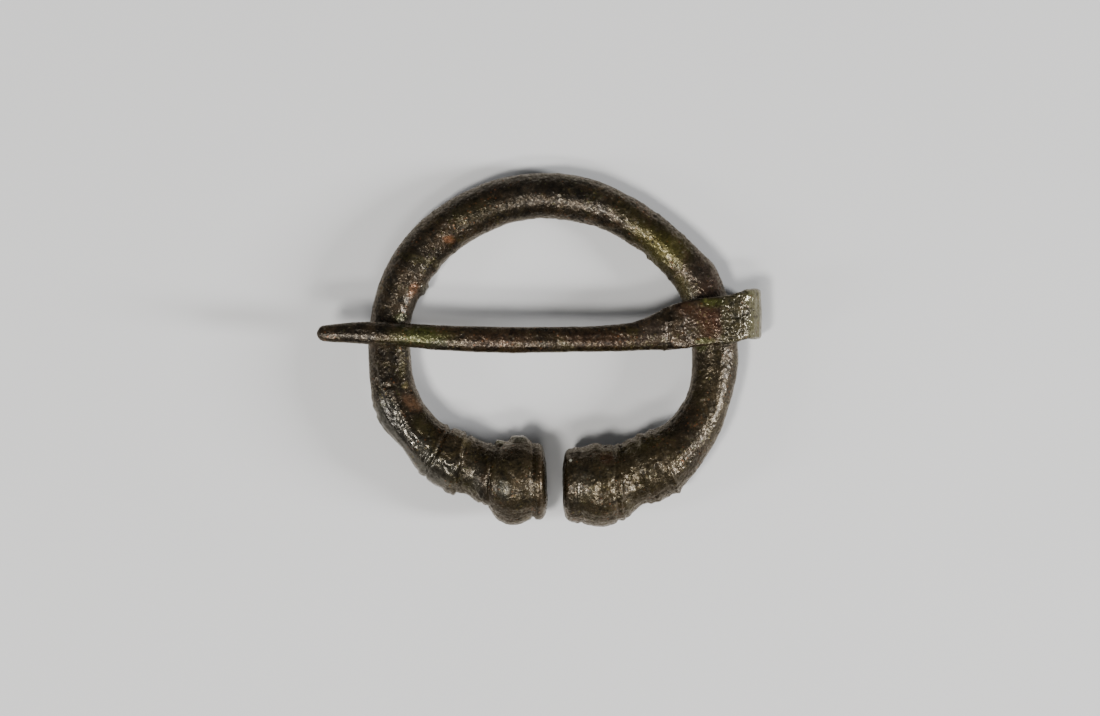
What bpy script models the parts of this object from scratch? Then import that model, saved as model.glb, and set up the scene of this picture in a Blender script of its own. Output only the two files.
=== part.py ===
"""Penannular brooch of cast bronze: an open hoop with moulded terminals, and a pin looped round it.

The brooch lies on its back with the pin on top, +Z up. Its terminals are thicker
than its rod, so the hoop leans a little: it touches the ground under both terminals
and under the far side of the hoop. Each touch has a small worn flat.
"""

import math

import bmesh
import bpy
from mathutils import Matrix, Vector

MM = 0.001

# Hoop: a round rod bent to an open ring
HOOP_RADIUS = 16.45 * MM
ROD_RADIUS = 2.3 * MM
LEFT_END_ANGLE = 268.5
RIGHT_END_ANGLE = -84.3
FAR_SIDE_ANGLE = 90.0

# Terminals: each grows from the rod to a bulb with rings, and ends in a slightly domed face
BULB_RADIUS = 4.29 * MM
TERMINAL_LENGTH = 18.0 * MM
FACE_DOME = 0.5 * MM

# Pin: a tapering shank whose head is hammered to a strap and bent round the rod
HEAD_ANGLE = 11.0
REST_ANGLE = 180.0
PIN_REACH = 40.7 * MM
TIP_LENGTH = 0.8 * MM
SHANK_WIDTH = 2.65 * MM
SHANK_THICKNESS = 2.2 * MM
SHANK_BOW = 0.2 * MM
STRAP_WIDTH = 5.0 * MM
STRAP_THICKNESS = 0.95 * MM
LOOP_SLACK = 1.75 * MM
TAIL_REACH = 1.7 * MM
TAIL_WIDTH = 3.4 * MM
TAIL_THICKNESS = 0.4 * MM

# Clearances
PIN_GAP = 0.3 * MM
TAIL_GAP = 0.25 * MM
WORN_FLAT = 0.09 * MM

# Fineness of the facets, and the ground block's size in hoops
ROD_RESOLUTION = 10
ROD_STEP = 1.7 * MM
PATH_SAMPLES = 720
PIN_SIDES = 18
SHANK_STATIONS = 22
STRAP_STATIONS = 4
TURN_STATIONS = 11
TAIL_STATIONS = 4
SHARP_ANGLE = 35.0
WELD = 0.001 * MM
GROUND_SPREAD = 4

# Form of the hoop. Each row: angle in degrees from +X, the middle line's distance from
# the hoop's centre as a share of HOOP_RADIUS, and the rod's radius as a share of ROD_RADIUS
HOOP_ROWS = [
    (-84.3, 0.833, 1.00),
    (-77.0, 0.846, 1.00),
    (-70.0, 0.879, 1.00),
    (-60.0, 0.912, 1.00),
    (-45.0, 0.968, 1.00),
    (-30.0, 1.016, 1.00),
    (-15.0, 1.038, 0.98),
    (0.0, 1.033, 1.00),
    (15.0, 1.038, 1.01),
    (30.0, 1.022, 0.95),
    (45.0, 0.990, 0.94),
    (60.0, 0.984, 0.92),
    (75.0, 0.991, 1.01),
    (90.0, 0.998, 1.03),
    (105.0, 1.006, 1.02),
    (120.0, 1.009, 1.05),
    (135.0, 1.022, 1.03),
    (150.0, 1.028, 1.02),
    (165.0, 1.026, 0.90),
    (180.0, 1.009, 0.96),
    (195.0, 1.010, 1.04),
    (210.0, 0.971, 1.02),
    (225.0, 0.915, 1.00),
    (240.0, 0.855, 1.00),
    (252.0, 0.829, 1.00),
    (261.0, 0.812, 1.00),
    (268.5, 0.803, 1.00),
]

# Domed end face. Each row: share of FACE_DOME from the face, share of the flange's radius
FACE_ROWS = [(0.0, 0.55), (0.4, 0.85), (0.75, 0.96), (1.0, 1.0)]

# Turned profiles of the terminals. Each row: distance from the face as a share of
# TERMINAL_LENGTH, and the swell from the rod's radius, 0, to the bulb's, 1
LEFT_PROFILE = [
    (0.031, 0.75),
    (0.061, 0.80),
    (0.073, 0.70),
    (0.088, 0.80),
    (0.139, 0.94),
    (0.189, 1.00),
    (0.228, 0.97),
    (0.261, 0.86),
    (0.300, 0.66),
    (0.322, 0.51),
    (0.333, 0.51),
    (0.344, 0.57),
    (0.358, 0.46),
    (0.383, 0.31),
    (0.422, 0.18),
    (0.456, 0.19),
    (0.492, 0.28),
    (0.506, 0.35),
    (0.519, 0.45),
    (0.533, 0.37),
    (0.583, 0.39),
    (0.628, 0.37),
    (0.664, 0.31),
    (0.678, 0.19),
    (0.692, 0.21),
    (0.722, 0.15),
    (0.789, 0.07),
    (0.861, 0.04),
    (0.944, 0.01),
    (1.0, 0.0),
]
RIGHT_PROFILE = [
    (0.028, 0.68),
    (0.044, 0.76),
    (0.067, 0.83),
    (0.092, 0.82),
    (0.106, 0.75),
    (0.119, 0.80),
    (0.144, 0.87),
    (0.183, 0.98),
    (0.211, 1.02),
    (0.244, 0.97),
    (0.283, 0.82),
    (0.306, 0.73),
    (0.319, 0.78),
    (0.333, 0.67),
    (0.372, 0.49),
    (0.406, 0.40),
    (0.444, 0.46),
    (0.464, 0.58),
    (0.478, 0.65),
    (0.500, 0.61),
    (0.556, 0.66),
    (0.583, 0.69),
    (0.606, 0.57),
    (0.656, 0.46),
    (0.711, 0.33),
    (0.778, 0.20),
    (0.861, 0.12),
    (0.944, 0.07),
    (1.0, 0.0),
]

# Form of the shank. Each row: distance from the pivot as a share of PIN_REACH, taper as a
# share of SHANK_WIDTH, flare towards STRAP_WIDTH, and sideways place as a share of PIN_REACH
SHANK_ROWS = [
    (0.069, 1.00, 1.00, -0.0110),
    (0.119, 1.00, 0.77, -0.0200),
    (0.142, 1.00, 0.56, -0.0260),
    (0.168, 1.00, 0.31, -0.0335),
    (0.198, 1.00, 0.14, -0.0400),
    (0.257, 1.00, 0.07, -0.0450),
    (0.325, 1.00, 0.00, -0.0475),
    (0.511, 1.03, 0.00, -0.0500),
    (0.668, 1.00, 0.00, -0.0460),
    (0.760, 0.94, 0.00, -0.0390),
    (0.869, 0.90, 0.00, -0.0330),
    (0.943, 0.76, 0.00, -0.0330),
    (0.981, 0.64, 0.00, -0.0345),
    (1.000, 0.60, 0.00, -0.0345),
]
NECK_PLACE = SHANK_ROWS[1][0]
TIP_TURNS = (0.12, 0.38, 0.64, 0.85)
SHANK_BOXINESS = 2.3
STRAP_BOXINESS = 4.5

# Sideways drift of the strap as it winds round the rod, away from the terminals
STRAP_START_DRIFT = -0.3 * MM
STRAP_END_DRIFT = 0.1 * MM
TURN_DRIFT = 0.95 * MM
TAIL_DRIFT = 0.2 * MM


def read_rows(rows, place, column):
    """Reads one column of rows at a place, on a smooth line through the rows' values."""
    last = len(rows) - 1
    index = min(max(sum(row[0] <= place for row in rows), 1), last)

    def slope(row):
        low, high = rows[max(row - 1, 0)], rows[min(row + 1, last)]
        return (high[column] - low[column]) / (high[0] - low[0])

    before, after = rows[index - 1], rows[index]
    span = after[0] - before[0]
    share = min(max((place - before[0]) / span, 0.0), 1.0)
    square, cube = share ** 2, share ** 3
    return (
        (2 * cube - 3 * square + 1) * before[column]
        + (cube - 2 * square + share) * span * slope(index - 1)
        + (3 * square - 2 * cube) * after[column]
        + (cube - square) * span * slope(index)
    )


def read_straight(rows, place):
    """Reads the second column of rows at a place, on straight lines between the rows."""
    for before, after in zip(rows, rows[1:]):
        if place <= after[0]:
            share = max(place - before[0], 0.0) / (after[0] - before[0])
            return before[1] + (after[1] - before[1]) * share
    return rows[-1][1]


def hoop_point(angle):
    """Point of the hoop's middle line, in the hoop's plane, at an angle in degrees."""
    reach = HOOP_RADIUS * read_rows(HOOP_ROWS, angle, 1)
    turn = math.radians(angle)
    return Vector((reach * math.cos(turn), reach * math.sin(turn), 0.0))


def rod_radius(angle):
    """Radius of the plain rod at an angle in degrees."""
    return ROD_RADIUS * read_rows(HOOP_ROWS, angle, 2)


def hoop_path():
    """Samples the middle line from the right face to the left one as (distance, angle)."""
    span = LEFT_END_ANGLE - RIGHT_END_ANGLE
    samples = []
    distance = 0.0
    previous = hoop_point(RIGHT_END_ANGLE)
    for step in range(PATH_SAMPLES + 1):
        angle = RIGHT_END_ANGLE + span * step / PATH_SAMPLES
        point = hoop_point(angle)
        distance += (point - previous).length
        samples.append((distance, angle))
        previous = point
    return samples


def terminal_stations(profile):
    """Rings of one terminal as (distance from the face, share of swell, share of radius)."""
    rim_place, rim_swell = profile[0]
    rim = rim_place * TERMINAL_LENGTH
    stations = [(rim - FACE_DOME * (1 - depth), rim_swell, width) for depth, width in FACE_ROWS[:-1]]
    stations += [(place * TERMINAL_LENGTH, swell, 1.0) for place, swell in profile]
    face = stations[0][0]
    return [(distance - face, swell, width) for distance, swell, width in stations]


def hoop_rings():
    """Rings of the whole hoop as (centre, radius), from the right face to the left one."""
    path = hoop_path()
    length = path[-1][0]
    right = terminal_stations(RIGHT_PROFILE)
    left = [(length - distance, swell, width) for distance, swell, width in terminal_stations(LEFT_PROFILE)]
    plain_start, plain_end = right[-1][0], left[-1][0]
    plain_count = max(round((plain_end - plain_start) / ROD_STEP), 2)
    plain_step = (plain_end - plain_start) / plain_count
    plain = [(plain_start + plain_step * step, 0.0, 1.0) for step in range(1, plain_count)]
    rings = []
    for distance, swell, width in right + plain + left[::-1]:
        angle = read_straight(path, distance)
        plain_radius = rod_radius(angle)
        radius = (plain_radius + (BULB_RADIUS - ROD_RADIUS) * swell) * width
        rings.append((hoop_point(angle), radius))
    return rings


def bulb_place(profile):
    """Distance of a terminal's widest ring from its face, as a share of TERMINAL_LENGTH."""
    return max(profile, key=lambda row: row[1])[0]


def lean_of_hoop():
    """Lean of the hoop's plane and height of its centre, lying on terminals and far side."""
    path = hoop_path()
    length = path[-1][0]
    right_bulb = hoop_point(read_straight(path, bulb_place(RIGHT_PROFILE) * TERMINAL_LENGTH))
    left_bulb = hoop_point(read_straight(path, length - bulb_place(LEFT_PROFILE) * TERMINAL_LENGTH))
    near = (right_bulb.y + left_bulb.y) / 2
    far = hoop_point(FAR_SIDE_ANGLE).y
    far_radius = rod_radius(FAR_SIDE_ANGLE)
    lean = math.asin((BULB_RADIUS - far_radius) / (far - near))
    return lean, far_radius - WORN_FLAT + far * math.sin(lean)


def make_material(name, colour, roughness, metallic):
    """Material of one sub-part: a Principled BSDF with plain values."""
    material = bpy.data.materials.new(name)
    material.use_nodes = True
    shader = material.node_tree.nodes["Principled BSDF"]
    shader.inputs["Base Color"].default_value = (*colour, 1.0)
    shader.inputs["Roughness"].default_value = roughness
    shader.inputs["Metallic"].default_value = metallic
    return material


def add_object(name, data, collection, parent=None, location=(0.0, 0.0, 0.0)):
    """Links a new object to a collection, under a parent."""
    thing = bpy.data.objects.new(name, data)
    thing.location = location
    thing.parent = parent
    collection.objects.link(thing)
    return thing


def finish_mesh(mesh, material):
    """Shades a mesh smooth between its sharp edges, and gives it a material."""
    mesh.materials.append(material)
    mesh.shade_smooth()
    mesh.set_sharp_from_angle(angle=math.radians(SHARP_ANGLE))


def build_hoop(parts, cutters, frame):
    """Hoop and terminals: a bevelled curve whose radius follows the turned profiles."""
    rings = hoop_rings()
    curve = bpy.data.curves.new("hoop_path", "CURVE")
    curve.dimensions = "3D"
    curve.twist_mode = "Z_UP"
    curve.bevel_depth = ROD_RADIUS
    curve.bevel_resolution = ROD_RESOLUTION
    curve.use_fill_caps = True
    spline = curve.splines.new("POLY")
    spline.points.add(len(rings) - 1)
    for point, (centre, radius) in zip(spline.points, rings):
        point.co = (*centre, 1.0)
        point.radius = radius / ROD_RADIUS
    path = add_object("hoop_path", curve, parts)
    evaluated = path.evaluated_get(bpy.context.evaluated_depsgraph_get())
    mesh = bpy.data.meshes.new_from_object(evaluated)
    bpy.data.objects.remove(path)

    shape = bmesh.new()
    shape.from_mesh(mesh)
    bmesh.ops.remove_doubles(shape, verts=shape.verts, dist=WELD)
    bmesh.ops.recalc_face_normals(shape, faces=shape.faces)
    shape.to_mesh(mesh)
    shape.free()

    mesh.name = "hoop"
    hoop = add_object("hoop", mesh, parts, frame)
    finish_mesh(mesh, make_material("hoop_bronze", (0.085, 0.066, 0.045), 0.42, 0.7))

    flats = hoop.modifiers.new("worn_flats", "BOOLEAN")
    flats.operation = "DIFFERENCE"
    flats.solver = "EXACT"
    flats.object = build_ground_cutter(cutters)
    return hoop


def build_ground_cutter(cutters):
    """Block below the ground, whose top wears the small flats on the hoop's underside."""
    size = GROUND_SPREAD * (HOOP_RADIUS + BULB_RADIUS)
    shape = bmesh.new()
    bmesh.ops.create_cube(shape, size=size, matrix=Matrix.Translation((0.0, 0.0, -size / 2)))
    mesh = bpy.data.meshes.new("ground_cutter")
    shape.to_mesh(mesh)
    shape.free()
    cutter = add_object("ground_cutter", mesh, cutters)
    cutter.hide_render = True
    cutter.display_type = "WIRE"
    return cutter


def pin_section(centre, normal, width, thickness, boxiness):
    """Ring of points round one section of the pin, from round (2) to nearly square."""
    ring = []
    for side in range(PIN_SIDES):
        turn = math.tau * side / PIN_SIDES
        across = math.copysign(abs(math.cos(turn)) ** (2 / boxiness), math.cos(turn))
        up = math.copysign(abs(math.sin(turn)) ** (2 / boxiness), math.sin(turn))
        ring.append(centre + Vector((0.0, across * width / 2, 0.0)) + normal * up * thickness / 2)
    return ring


def shank_sections(strap_height, rest_height, rest_place):
    """Sections of the shank, from its rounded tip to the start of the strap."""
    strap_place = SHANK_ROWS[0][0]
    tip_share = TIP_LENGTH / PIN_REACH
    places = []
    for tip_turn in reversed(TIP_TURNS):
        turn = tip_turn * math.pi / 2
        places.append((1.0 - tip_share * (1 - math.sin(turn)), math.cos(turn)))
    body_end = 1.0 - tip_share
    for step in range(SHANK_STATIONS):
        share = step / (SHANK_STATIONS - 1)
        places.append((body_end + (NECK_PLACE - body_end) * share, 1.0))
    for share in (0.5, 1.0):
        places.append((NECK_PLACE + (strap_place - NECK_PLACE) * share, 1.0))

    top = strap_height + STRAP_THICKNESS / 2
    neck_height = top - SHANK_THICKNESS / 2
    sections = []
    for place, roundness in places:
        taper = read_rows(SHANK_ROWS, place, 1)
        flare = read_rows(SHANK_ROWS, place, 2)
        width = SHANK_WIDTH * taper + (STRAP_WIDTH - SHANK_WIDTH) * flare
        thickness = SHANK_THICKNESS * taper
        rise = (place - NECK_PLACE) / (rest_place - NECK_PLACE)
        height = neck_height + (rest_height - neck_height) * rise
        height += SHANK_BOW * math.sin(math.pi * min(max(rise, 0.0), 1.0))
        boxiness = SHANK_BOXINESS
        if place < NECK_PLACE:
            blend = (NECK_PLACE - place) / (NECK_PLACE - strap_place)
            thickness += (STRAP_THICKNESS - thickness) * blend
            height = top - thickness / 2
            boxiness += (STRAP_BOXINESS - boxiness) * blend
        centre = Vector((-place * PIN_REACH, read_rows(SHANK_ROWS, place, 3) * PIN_REACH, height))
        sections.append(
            pin_section(centre, Vector((0.0, 0.0, 1.0)), width * roundness, thickness * roundness, boxiness)
        )
    return sections


def strap_sections(rod):
    """Sections of the strap: over the rod, round its outer side and back under it."""
    top_radius = rod + PIN_GAP
    bottom_radius = rod + TAIL_GAP
    sections = []
    start = -SHANK_ROWS[0][0] * PIN_REACH
    for step in range(1, STRAP_STATIONS + 1):
        share = step / STRAP_STATIONS
        drift = STRAP_START_DRIFT + (STRAP_END_DRIFT - STRAP_START_DRIFT) * share
        centre = Vector((start + (LOOP_SLACK - start) * share, drift, top_radius + STRAP_THICKNESS / 2))
        sections.append(
            pin_section(centre, Vector((0.0, 0.0, 1.0)), STRAP_WIDTH, STRAP_THICKNESS, STRAP_BOXINESS)
        )
    turn_end_width = (STRAP_WIDTH + TAIL_WIDTH) / 2
    for step in range(1, TURN_STATIONS + 1):
        share = step / TURN_STATIONS
        turn = math.pi * (0.5 - share)
        normal = Vector((math.cos(turn), 0.0, math.sin(turn)))
        width = STRAP_WIDTH + (turn_end_width - STRAP_WIDTH) * share ** 2
        thickness = STRAP_THICKNESS + (TAIL_THICKNESS - STRAP_THICKNESS) * share
        drift = STRAP_END_DRIFT + (TURN_DRIFT - STRAP_END_DRIFT) * math.sin(math.pi * min(share, 0.5))
        drift += (TAIL_DRIFT - TURN_DRIFT) * max(share - 0.5, 0.0)
        inner = top_radius + (bottom_radius - top_radius) * share
        centre = Vector((LOOP_SLACK, drift, 0.0)) + normal * (inner + thickness / 2)
        sections.append(pin_section(centre, normal, width, thickness, STRAP_BOXINESS))
    turn_end_drift = (TURN_DRIFT + TAIL_DRIFT) / 2
    for step in range(1, TAIL_STATIONS + 1):
        share = step / TAIL_STATIONS
        width = turn_end_width + (TAIL_WIDTH - turn_end_width) * share
        drift = turn_end_drift + (TAIL_DRIFT - turn_end_drift) * share
        along = LOOP_SLACK - (LOOP_SLACK + TAIL_REACH) * share
        centre = Vector((along, drift, -bottom_radius - TAIL_THICKNESS / 2))
        sections.append(
            pin_section(centre, Vector((0.0, 0.0, -1.0)), width, TAIL_THICKNESS, STRAP_BOXINESS)
        )
    return sections


def build_pin(parts, frame):
    """Pin: one loft from the tip along the shank and on round the loop of its head."""
    pivot_point = hoop_point(HEAD_ANGLE)
    rod = rod_radius(HEAD_ANGLE)
    rest_place = 2 * HOOP_RADIUS / PIN_REACH
    rest_height = rod_radius(REST_ANGLE) + PIN_GAP + SHANK_THICKNESS / 2
    strap_height = rod + PIN_GAP + STRAP_THICKNESS / 2
    sections = shank_sections(strap_height, rest_height, rest_place) + strap_sections(rod)

    shape = bmesh.new()
    loops = [[shape.verts.new(point) for point in section] for section in sections]
    for before, after in zip(loops, loops[1:]):
        for side in range(PIN_SIDES):
            shape.faces.new((before[side - 1], before[side], after[side], after[side - 1]))
    shape.faces.new(loops[0][::-1])
    shape.faces.new(loops[-1])
    bmesh.ops.recalc_face_normals(shape, faces=shape.faces)
    mesh = bpy.data.meshes.new("pin")
    shape.to_mesh(mesh)
    shape.free()

    pivot = add_object("pin_pivot", None, parts, frame, pivot_point)
    pin = add_object("pin", mesh, parts, pivot)
    finish_mesh(mesh, make_material("pin_bronze", (0.115, 0.085, 0.055), 0.45, 0.65))
    return pin


def centre_on_ground(frame, pieces):
    """Shifts the brooch sideways until the middle of its box is over the origin."""
    bpy.context.view_layer.update()
    graph = bpy.context.evaluated_depsgraph_get()
    points = [
        piece.matrix_world @ vertex.co
        for piece in pieces
        for vertex in piece.evaluated_get(graph).data.vertices
    ]
    for axis in range(2):
        places = [point[axis] for point in points]
        frame.location[axis] -= (min(places) + max(places)) / 2
    bpy.context.view_layer.update()


def main():
    """Builds the brooch in an emptied scene."""
    for thing in list(bpy.data.objects):
        bpy.data.objects.remove(thing)
    parts = bpy.data.collections.new("penannular_brooch")
    cutters = bpy.data.collections.new("cutters")
    bpy.context.scene.collection.children.link(parts)
    bpy.context.scene.collection.children.link(cutters)

    lean, height = lean_of_hoop()
    frame = add_object("brooch_lying", None, parts, None, (0.0, 0.0, height))
    frame.rotation_euler = (-lean, 0.0, 0.0)
    hoop = build_hoop(parts, cutters, frame)
    pin = build_pin(parts, frame)
    centre_on_ground(frame, [hoop, pin])


main()
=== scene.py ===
"""Penannular brooch of dark cast bronze: fine relief and patina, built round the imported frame."""

import logging
import math
from dataclasses import dataclass
from enum import Enum
from typing import Any

import bmesh
import bpy
import numpy as np
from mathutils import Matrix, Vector, noise


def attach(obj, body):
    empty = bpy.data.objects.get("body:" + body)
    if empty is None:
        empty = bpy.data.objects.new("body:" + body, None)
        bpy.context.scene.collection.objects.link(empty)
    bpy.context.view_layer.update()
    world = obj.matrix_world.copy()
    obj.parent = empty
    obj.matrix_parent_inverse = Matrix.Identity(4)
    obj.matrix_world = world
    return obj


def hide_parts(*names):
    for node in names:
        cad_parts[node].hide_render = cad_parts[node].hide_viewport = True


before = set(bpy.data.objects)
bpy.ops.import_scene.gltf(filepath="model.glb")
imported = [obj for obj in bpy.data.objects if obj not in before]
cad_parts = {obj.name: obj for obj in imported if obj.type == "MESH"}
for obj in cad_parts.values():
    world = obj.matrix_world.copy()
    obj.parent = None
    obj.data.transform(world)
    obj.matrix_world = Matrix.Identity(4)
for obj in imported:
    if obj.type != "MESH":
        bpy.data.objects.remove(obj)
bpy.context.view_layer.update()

MM = 0.001
LOG = logging.getLogger("brooch")

Spot = tuple[float, float]
Colour = tuple[float, float, float]


@dataclass(frozen=True)
class PhotoScale:
    """Turns places in the photo's pixels into places on the brooch, seen from above.

    Attributes:
        pixel: Size of one pixel, in millimetres.
        middle: Pixel that lies over the frame's origin.
        view_middle: Pixel in the middle of the photo.
        view_width: Width of the photo in pixels.
    """

    pixel: float = 38.0 / 367.0
    middle: Spot = (539.5, 349.5)
    view_middle: Spot = (550.0, 358.0)
    view_width: float = 1100.0

    def place(self, spot: Spot) -> np.ndarray:
        """Gives the place of a pixel on the ground plan.

        Args:
            spot: Pixel of the photo, across and down.

        Returns:
            The place in millimetres, along X and Y.
        """
        return np.array([spot[0] - self.middle[0], self.middle[1] - spot[1]]) * self.pixel

    def across(self, column: float) -> float:
        """Gives the place of a column of pixels along X, in millimetres."""
        return (column - self.middle[0]) * self.pixel


PHOTO = PhotoScale()


def smooth_step(values: np.ndarray, low: float, high: float) -> np.ndarray:
    """Rises smoothly from 0 at low to 1 at high.

    Args:
        values: Numbers to read.
        low: Value at which the result leaves 0.
        high: Value at which it reaches 1. It may lie below low.

    Returns:
        One number from 0 to 1 for each value.
    """
    share = np.clip((values - low) / (high - low), 0.0, 1.0)
    return share * share * (3.0 - 2.0 * share)


def clouds(points: np.ndarray, size: float, octaves: int, seed: int) -> np.ndarray:
    """Reads cloudy noise.

    Args:
        points: Places in millimetres.
        size: Size of the largest lumps in millimetres.
        octaves: Number of finer layers.
        seed: Number that moves the pattern.

    Returns:
        A value of about -1 to 1 for each point.
    """
    shift = Vector((17.3, -9.1, 5.7)) * seed
    return np.array([noise.fractal(Vector(p) / size + shift, 0.9, 2.0, octaves) for p in points])


def cells(points: np.ndarray, size: float, seed: int) -> np.ndarray:
    """Reads the distance to the nearest of many scattered spots.

    Args:
        points: Places in millimetres.
        size: Typical distance between spots in millimetres.
        seed: Number that moves the pattern.

    Returns:
        The distance of each point, as a share of size.
    """
    shift = Vector((-4.9, 12.7, 8.3)) * seed
    return np.array([noise.voronoi(Vector(p) / size + shift)[0][0] for p in points])


@dataclass(frozen=True)
class Waves:
    """One layer of cloudy relief.

    Attributes:
        height: Its height in millimetres, or in the unit of what it shifts.
        size: Size of its largest lumps in millimetres.
        octaves: Number of finer layers in it.
        seed: Number that moves its pattern.
    """

    height: float
    size: float
    octaves: int
    seed: int

    def relief(self, points: np.ndarray) -> np.ndarray:
        """Gives how far the layer lifts or shifts each point."""
        return self.height * clouds(points, self.size, self.octaves, self.seed)


@dataclass(frozen=True)
class Specks:
    """Scattered pits or bumps, which gather in patches.

    Attributes:
        height: Height of a bump or depth of a pit, in millimetres.
        spacing: Distance between them in millimetres.
        seed: Number that scatters them.
        rim: Share of the spacing at which one ends.
        core: Share of the spacing at which it is full.
        patch_size: Size of the patches in millimetres.
        patch_seed: Number that moves the patches.
        patch_rim: Value of the patches' noise at which a patch starts.
        patch_core: Value at which it is full.
    """

    height: float
    spacing: float
    seed: int
    rim: float
    core: float
    patch_size: float
    patch_seed: int
    patch_rim: float
    patch_core: float

    def cover(self, points: np.ndarray) -> np.ndarray:
        """Gives how far each point is covered, from 0 to 1.

        Args:
            points: Places in millimetres.

        Returns:
            One number for each point.
        """
        specks = smooth_step(cells(points, self.spacing, self.seed), self.rim, self.core)
        patches = clouds(points, self.patch_size, 2, self.patch_seed)
        return specks * smooth_step(patches, self.patch_rim, self.patch_core)


@dataclass(frozen=True)
class Band:
    """A stretch of angles that fades at both ends, in degrees.

    Attributes:
        start: Angle at which it starts.
        full: Angle at which it is full.
        fade: Angle at which it starts to fade.
        end: Angle at which it ends.
    """

    start: float
    full: float
    fade: float
    end: float

    def share(self, angles: np.ndarray) -> np.ndarray:
        """Gives how far each angle lies inside the band, from 0 to 1."""
        return smooth_step(angles, self.start, self.full) * smooth_step(angles, self.end, self.fade)


@dataclass(frozen=True)
class RingLine:
    """A groove or ridge round the rod, in an upright plane through two places in the photo.

    Attributes:
        start: Pixel where the line starts.
        end: Pixel where it ends.
        height: Height of the ridge in millimetres, below 0 for a groove.
        width: Half its width in millimetres.
        reach: How far it runs from its middle, in millimetres.
        fade: Length over which it ends, in millimetres.
        wander: How far it strays to each side, in millimetres.
        wander_turn: How fast it strays with height, in radians a millimetre.
    """

    start: Spot
    end: Spot
    height: float
    width: float
    reach: float = 5.2
    fade: float = 0.8
    wander: float = 0.12
    wander_turn: float = 1.7

    def relief(self, points: np.ndarray) -> np.ndarray:
        """Gives how far the line lifts each point.

        Args:
            points: Places in millimetres.

        Returns:
            The lift of each point in millimetres.
        """
        start, end = PHOTO.place(self.start), PHOTO.place(self.end)
        middle = (start + end) / 2
        run = (end - start) / np.linalg.norm(end - start)
        flat = points[:, :2] - middle
        offset = flat @ np.array([-run[1], run[0]])
        wobble = self.wander * np.sin(points[:, 2] * self.wander_turn + self.start[0])
        fade = smooth_step(np.linalg.norm(flat, axis=1), self.reach, self.reach - self.fade)
        return self.height * fade * np.exp(-(((offset + wobble) / self.width) ** 2))


@dataclass(frozen=True)
class Seam:
    """A ridge or crack that follows a line of places in the photo, on the upper side only.

    Attributes:
        line: Pixels along the line.
        height: Height of the ridge in millimetres, below 0 for a crack.
        width: Half its width in millimetres.
        upright: Height of the normal from which a point counts as the upper side in full.
    """

    line: tuple[Spot, ...]
    height: float
    width: float
    upright: float = 0.4

    def relief(self, points: np.ndarray, normals: np.ndarray) -> np.ndarray:
        """Gives how far the seam lifts each point.

        Args:
            points: Places in millimetres.
            normals: Directions out of the surface at the points.

        Returns:
            The lift of each point in millimetres.
        """
        flat = points[:, :2]
        nearest = np.full(len(points), np.inf)
        for first, last in zip(self.line, self.line[1:]):
            start, run = PHOTO.place(first), PHOTO.place(last) - PHOTO.place(first)
            share = np.clip((flat - start) @ run / (run @ run), 0.0, 1.0)
            nearest = np.minimum(nearest, np.linalg.norm(flat - start - share[:, None] * run, axis=1))
        upper = smooth_step(normals[:, 2], 0.0, self.upright)
        return self.height * upper * np.exp(-((nearest / self.width) ** 2))


@dataclass(frozen=True)
class Lump:
    """A raised crust or a dent at one place of the surface.

    Attributes:
        spot: Pixel over its middle.
        level: Height of its middle above the ground, in millimetres.
        size: Its half sizes along X, Y and Z, in millimetres.
        height: How far it stands out, in millimetres, below 0 for a dent.
        edge: Share of its size over which it rises.
        seed: Number that shapes its rim.
        ragged: How uneven its rim is, 0 for a smooth swelling.
        rim_size: Size of the rim's unevenness in millimetres.
        span: Share of its size within which points are read at all.
    """

    spot: Spot
    level: float
    size: tuple[float, float, float]
    height: float
    edge: float = 0.5
    seed: int = 1
    ragged: float = 0.3
    rim_size: float = 0.7
    span: float = 1.6

    def cover(self, points: np.ndarray) -> np.ndarray:
        """Gives how far each point is covered, from 0 to 1.

        Args:
            points: Places in millimetres.

        Returns:
            One number for each point.
        """
        middle = np.array([*PHOTO.place(self.spot), self.level])
        distance = np.linalg.norm((points - middle) / np.array(self.size), axis=1)
        near = distance < self.span
        cover = np.zeros(len(points))
        reach = distance[near] + self.ragged * clouds(points[near], self.rim_size, 2, self.seed)
        cover[near] = smooth_step(reach, 1.0, 1.0 - self.edge)
        return cover

    def relief(self, points: np.ndarray) -> np.ndarray:
        """Gives how far the lump lifts each point, in millimetres."""
        return self.height * self.cover(points)


@dataclass(frozen=True)
class Swell(Lump):
    """A smooth swelling, or a hollow where its height is below 0."""

    edge: float = 1.0
    ragged: float = 0.0


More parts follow.
